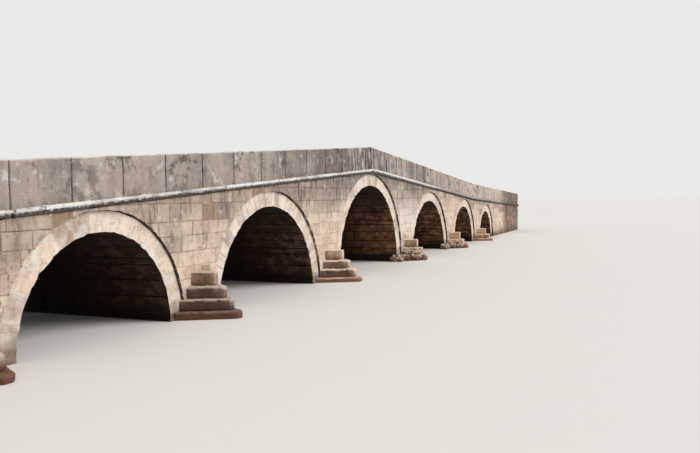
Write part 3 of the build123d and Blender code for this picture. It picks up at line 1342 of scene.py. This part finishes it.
def build_paving(material):
    size = sizes()
    piece = solid_of("roadway", "roadway_stones")
    low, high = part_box("roadway")
    x_lines = deck_lines(-HALF_LENGTH, HALF_LENGTH, 70)
    y_lines = deck_lines(low.y, high.y, 71)
    for run in deck_runs():
        planes = run.crossings(x_lines, SLOPE_MARGIN) + lines_across("Y", y_lines[1:-1])
        cut_faces(piece, lambda place, normal: run.holds(place) and normal.z > SQUARE, planes)
    rows = stones_in(x_lines, size.paving_stone, 0.25, 72)
    joints = joints_beside(y_lines, len(rows) + 1, size.paving_stone * 1.3, 0.35, 80)

    def stone_at(place, normal):
        if normal.z < SQUARE:
            return None
        row = bisect_right(rows, place.x)
        return row, bisect_right(joints[row][1:-1], place.y)

    carve_joints(piece, stone_at, size.paving_joint, size.paving_joint_depth, 73, wander=0.01)
    tone_stones(piece, 74, -0.018)
    roughen(piece, 0.2, 0.016)
    finished(piece, material, "paving_stone", "roadway")


class BRIDGE_OT_paving(bpy.types.Operator):
    """Build the worn paving of the roadway"""
    bl_idname = "bridge.paving"
    bl_label = "Paving"

    def execute(self, context):
        build_paving(paving_finish())
        return {"FINISHED"}


# Stage

class BRIDGE_OT_studio(bpy.types.Operator):
    """Set the floor, the light and the camera"""
    bl_idname = "bridge.studio"
    bl_label = "Studio"

    def execute(self, context):
        scene = context.scene
        studio = scene.bridge_studio
        set_floor()
        set_light(studio)
        set_camera(studio)
        scene.view_settings.view_transform = "Standard"
        return {"FINISHED"}


def set_floor():
    bpy.ops.object.select_all(action="DESELECT")
    bpy.ops.mesh.primitive_plane_add(size=400)
    floor = bpy.context.object
    floor.name = "floor"
    material = bpy.data.materials.new("Studio floor")
    material.use_nodes = True
    shader = material.node_tree.nodes["Principled BSDF"]
    shader.inputs["Base Color"].default_value = colour_of("floor")
    shader.inputs["Roughness"].default_value = 0.9
    floor.data.materials.append(material)


def set_light(studio):
    """Even light with a plain backdrop where it is seen, and a broad light from the front."""
    world = bpy.data.worlds.new("Studio light")
    bpy.context.scene.world = world
    world.use_nodes = True
    tree = world.node_tree
    even = tree.nodes["Background"]
    even.inputs["Color"].default_value = (1, 0.99, 0.97, 1)
    even.inputs["Strength"].default_value = studio.sky
    nodes = Nodes(tree)
    seen = nodes.node("ShaderNodeBackground", inputs=[(0.82, 0.82, 0.81, 1)])
    camera, glossy, through = (
        nodes.node("ShaderNodeLightPath", output=f"Is {ray} Ray")
        for ray in ("Camera", "Glossy", "Transmission"))
    either = nodes.node("ShaderNodeMixShader", inputs=[
        camera | glossy | through, Value(nodes, even.outputs[0]), seen])
    tree.links.new(either.socket, tree.nodes["World Output"].inputs["Surface"])
    lamp = bpy.data.lights.new("Key", "SUN")
    lamp.energy = studio.key
    lamp.angle = studio.key_width
    lamp.color = (1, 0.98, 0.94)
    key = bpy.data.objects.new("Key", lamp)
    bpy.context.scene.collection.objects.link(key)
    key.rotation_euler = Vector(studio.key_from).to_track_quat("Z", "Y").to_euler()


def set_camera(studio):
    lens = bpy.data.cameras.new("View")
    lens.lens = studio.lens
    lens.sensor_width = 36
    lens.sensor_fit = "HORIZONTAL"
    lens.clip_end = 500
    camera = bpy.data.objects.new("View", lens)
    bpy.context.scene.collection.objects.link(camera)
    camera.location = studio.eye_x, -FACE - studio.eye_distance, studio.eye_height
    along_bridge = Euler((math.pi / 2, 0, -math.pi / 2))
    turn = Matrix.Identity(3)
    for turned, axis in ((studio.heading, "Z"), (-studio.pitch, "Y"), (-studio.roll, "X")):
        turn @= Matrix.Rotation(turned, 3, axis)
    camera.rotation_euler = (turn @ along_bridge.to_matrix()).to_euler()
    bpy.context.scene.camera = camera


class BRIDGE_PT_panel(bpy.types.Panel):
    """Lists the steps that build the bridge"""
    bl_label = "Stone arch bridge"
    bl_idname = "BRIDGE_PT_panel"
    bl_space_type = "VIEW_3D"
    bl_region_type = "UI"
    bl_category = "Bridge"

    def draw(self, context):
        for group in (context.scene.bridge_sizes, context.scene.bridge_colours,
                      context.scene.bridge_studio):
            for name in group.__annotations__:
                self.layout.prop(group, name)
        for step in STEPS:
            self.layout.operator(step.bl_idname)


STEPS = (BRIDGE_OT_walls, BRIDGE_OT_arches, BRIDGE_OT_cutwaters, BRIDGE_OT_cornices,
         BRIDGE_OT_parapets, BRIDGE_OT_paving, BRIDGE_OT_studio)
GROUPS = {"bridge_sizes": BridgeSizes, "bridge_colours": BridgeColours,
          "bridge_studio": StudioSizes}
CLASSES = (*GROUPS.values(), *STEPS, BRIDGE_PT_panel)


def register():
    for kind in CLASSES:
        bpy.utils.register_class(kind)
    for name, group in GROUPS.items():
        setattr(bpy.types.Scene, name, PointerProperty(type=group))


def unregister():
    for name in GROUPS:
        delattr(bpy.types.Scene, name)
    for kind in reversed(CLASSES):
        bpy.utils.unregister_class(kind)


def main():
    register()
    for step in STEPS:
        call = getattr(bpy.ops.bridge, step.bl_idname.split(".")[1])
        call()


if __name__ == "__main__":
    main()
